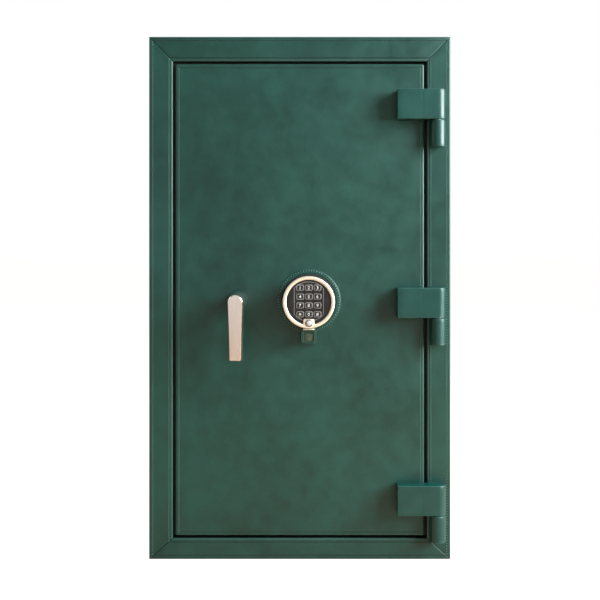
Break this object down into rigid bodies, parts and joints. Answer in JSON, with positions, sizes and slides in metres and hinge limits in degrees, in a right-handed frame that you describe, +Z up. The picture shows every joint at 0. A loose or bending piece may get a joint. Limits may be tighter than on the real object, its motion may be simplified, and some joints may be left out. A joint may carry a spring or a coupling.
{
  "type": "gun safe",
  "caption": "Compact gun safe covered in stitched green leather, with a hinged door, lever handle, round keypad lock, three-way bolts and lined shelves.",
  "frame": {"origin": "centre of the base, on the surface the safe stands on", "axes": "+X to the right of someone facing the door, -Y out of the door towards them, +Z up"},
  "size_m": [0.5, 0.482, 0.867],
  "materials": {
    "green_leather": "satin pebbled leather, tone-on-tone stitching",
    "painted_steel": "satin powder coat",
    "bare_steel": "brushed",
    "fire_board": "matte",
    "suede_lining": "suede nap",
    "seal_rubber": "matte",
    "pale_gold": "polished champagne gold",
    "black_plastic": "fine moulded grain",
    "clear_plastic": "gloss",
    "battery_wrap": "gloss wrap"
  },
  "bodies": {
    "carcass": {"outer_casing": "painted_steel", "fire_fill": "fire_board", "inner_casing": "bare_steel", "interior_lining": "suede_lining", "front_frame": "painted_steel", "fire_seal": "seal_rubber", "frame_leather_top": "green_leather", "frame_leather_bottom": "green_leather", "frame_leather_left": "green_leather", "frame_leather_right": "green_leather", "side_leather_left": "green_leather", "side_leather_right": "green_leather", "top_leather": "green_leather", "upper_shelf": "suede_lining", "lower_shelf": "suede_lining", "hinge_knuckle_top": "green_leather", "hinge_knuckle_middle": "green_leather", "hinge_knuckle_bottom": "green_leather", "hinge_pin_top": "bare_steel", "hinge_pin_middle": "bare_steel", "hinge_pin_bottom": "bare_steel"},
    "door": {"door_plate": "bare_steel", "door_leather": "green_leather", "hinge_strap_top": "green_leather", "hinge_strap_middle": "green_leather", "hinge_strap_bottom": "green_leather", "boltwork_box": "painted_steel", "door_inner_panel": "suede_lining", "hinge_side_dog_bar": "bare_steel", "lock_case": "bare_steel", "handle_rose": "green_leather", "keypad_housing": "black_plastic", "keypad_collar": "green_leather", "bezel_ring": "pale_gold", "keypad_face": "black_plastic", "status_window": "clear_plastic"},
    "handle": {"lever_handle": "pale_gold", "handle_spindle": "bare_steel", "drive_pinion": "bare_steel"},
    "side_bolts": {"bolt_carrier": "bare_steel", "side_bolt_upper": "bare_steel", "side_bolt_middle": "bare_steel", "side_bolt_lower": "bare_steel"},
    "top_bolt": {"top_bolt": "bare_steel"},
    "bottom_bolt": {"bottom_bolt": "bare_steel"},
    "lock_bolt": {"lock_bolt": "bare_steel"},
    "battery_drawer": {"battery_drawer": "green_leather", "battery": "battery_wrap"},
    "key_1": {"key_1": "black_plastic"},
    "key_2": {"key_2": "black_plastic"},
    "key_3": {"key_3": "black_plastic"},
    "key_4": {"key_4": "black_plastic"},
    "key_5": {"key_5": "black_plastic"},
    "key_6": {"key_6": "black_plastic"},
    "key_7": {"key_7": "black_plastic"},
    "key_8": {"key_8": "black_plastic"},
    "key_9": {"key_9": "black_plastic"},
    "key_star": {"key_star": "black_plastic"},
    "key_0": {"key_0": "black_plastic"},
    "key_hash": {"key_hash": "black_plastic"}
  },
  "joints": [
    {"name": "door_swing", "type": "hinge", "parent": "carcass", "child": "door", "pos_m": [0.227, -0.22825, 0.427], "axis": [0, 0, 1], "range_deg": [0, 120]},
    {"name": "handle_turn", "type": "hinge", "parent": "door", "child": "handle", "pos_m": [-0.103, -0.215, 0.429], "axis": [0, 1, 0], "range_deg": [0, 90]},
    {"name": "side_bolts_throw", "type": "slide", "parent": "door", "child": "side_bolts", "axis": [-1, 0, 0], "range_m": [0, 0.0252]},
    {"name": "top_bolt_throw", "type": "slide", "parent": "door", "child": "top_bolt", "axis": [0, 0, 1], "range_m": [0, 0.0252]},
    {"name": "bottom_bolt_throw", "type": "slide", "parent": "door", "child": "bottom_bolt", "axis": [0, 0, -1], "range_m": [0, 0.0252]},
    {"name": "lock_bolt_slide", "type": "slide", "parent": "door", "child": "lock_bolt", "axis": [0, 0, -1], "range_m": [0, 0.009]},
    {"name": "battery_drawer_slide", "type": "slide", "parent": "door", "child": "battery_drawer", "axis": [0, 0, -1], "range_m": [0, 0.035]},
    {"name": "press_key_1", "type": "slide", "parent": "door", "child": "key_1", "axis": [0, 1, 0], "range_m": [0, 0.001], "stiffness_N_per_m": 400},
    {"name": "press_key_2", "type": "slide", "parent": "door", "child": "key_2", "axis": [0, 1, 0], "range_m": [0, 0.001], "stiffness_N_per_m": 400},
    {"name": "press_key_3", "type": "slide", "parent": "door", "child": "key_3", "axis": [0, 1, 0], "range_m": [0, 0.001], "stiffness_N_per_m": 400},
    {"name": "press_key_4", "type": "slide", "parent": "door", "child": "key_4", "axis": [0, 1, 0], "range_m": [0, 0.001], "stiffness_N_per_m": 400},
    {"name": "press_key_5", "type": "slide", "parent": "door", "child": "key_5", "axis": [0, 1, 0], "range_m": [0, 0.001], "stiffness_N_per_m": 400},
    {"name": "press_key_6", "type": "slide", "parent": "door", "child": "key_6", "axis": [0, 1, 0], "range_m": [0, 0.001], "stiffness_N_per_m": 400},
    {"name": "press_key_7", "type": "slide", "parent": "door", "child": "key_7", "axis": [0, 1, 0], "range_m": [0, 0.001], "stiffness_N_per_m": 400},
    {"name": "press_key_8", "type": "slide", "parent": "door", "child": "key_8", "axis": [0, 1, 0], "range_m": [0, 0.001], "stiffness_N_per_m": 400},
    {"name": "press_key_9", "type": "slide", "parent": "door", "child": "key_9", "axis": [0, 1, 0], "range_m": [0, 0.001], "stiffness_N_per_m": 400},
    {"name": "press_key_star", "type": "slide", "parent": "door", "child": "key_star", "axis": [0, 1, 0], "range_m": [0, 0.001], "stiffness_N_per_m": 400},
    {"name": "press_key_0", "type": "slide", "parent": "door", "child": "key_0", "axis": [0, 1, 0], "range_m": [0, 0.001], "stiffness_N_per_m": 400},
    {"name": "press_key_hash", "type": "slide", "parent": "door", "child": "key_hash", "axis": [0, 1, 0], "range_m": [0, 0.001], "stiffness_N_per_m": 400}
  ],
  "couplings": [
    {"joint": "side_bolts_throw", "follows": "handle_turn", "m_per_rad": 0.016},
    {"joint": "top_bolt_throw", "follows": "handle_turn", "m_per_rad": 0.016},
    {"joint": "bottom_bolt_throw", "follows": "handle_turn", "m_per_rad": 0.016}
  ]
}
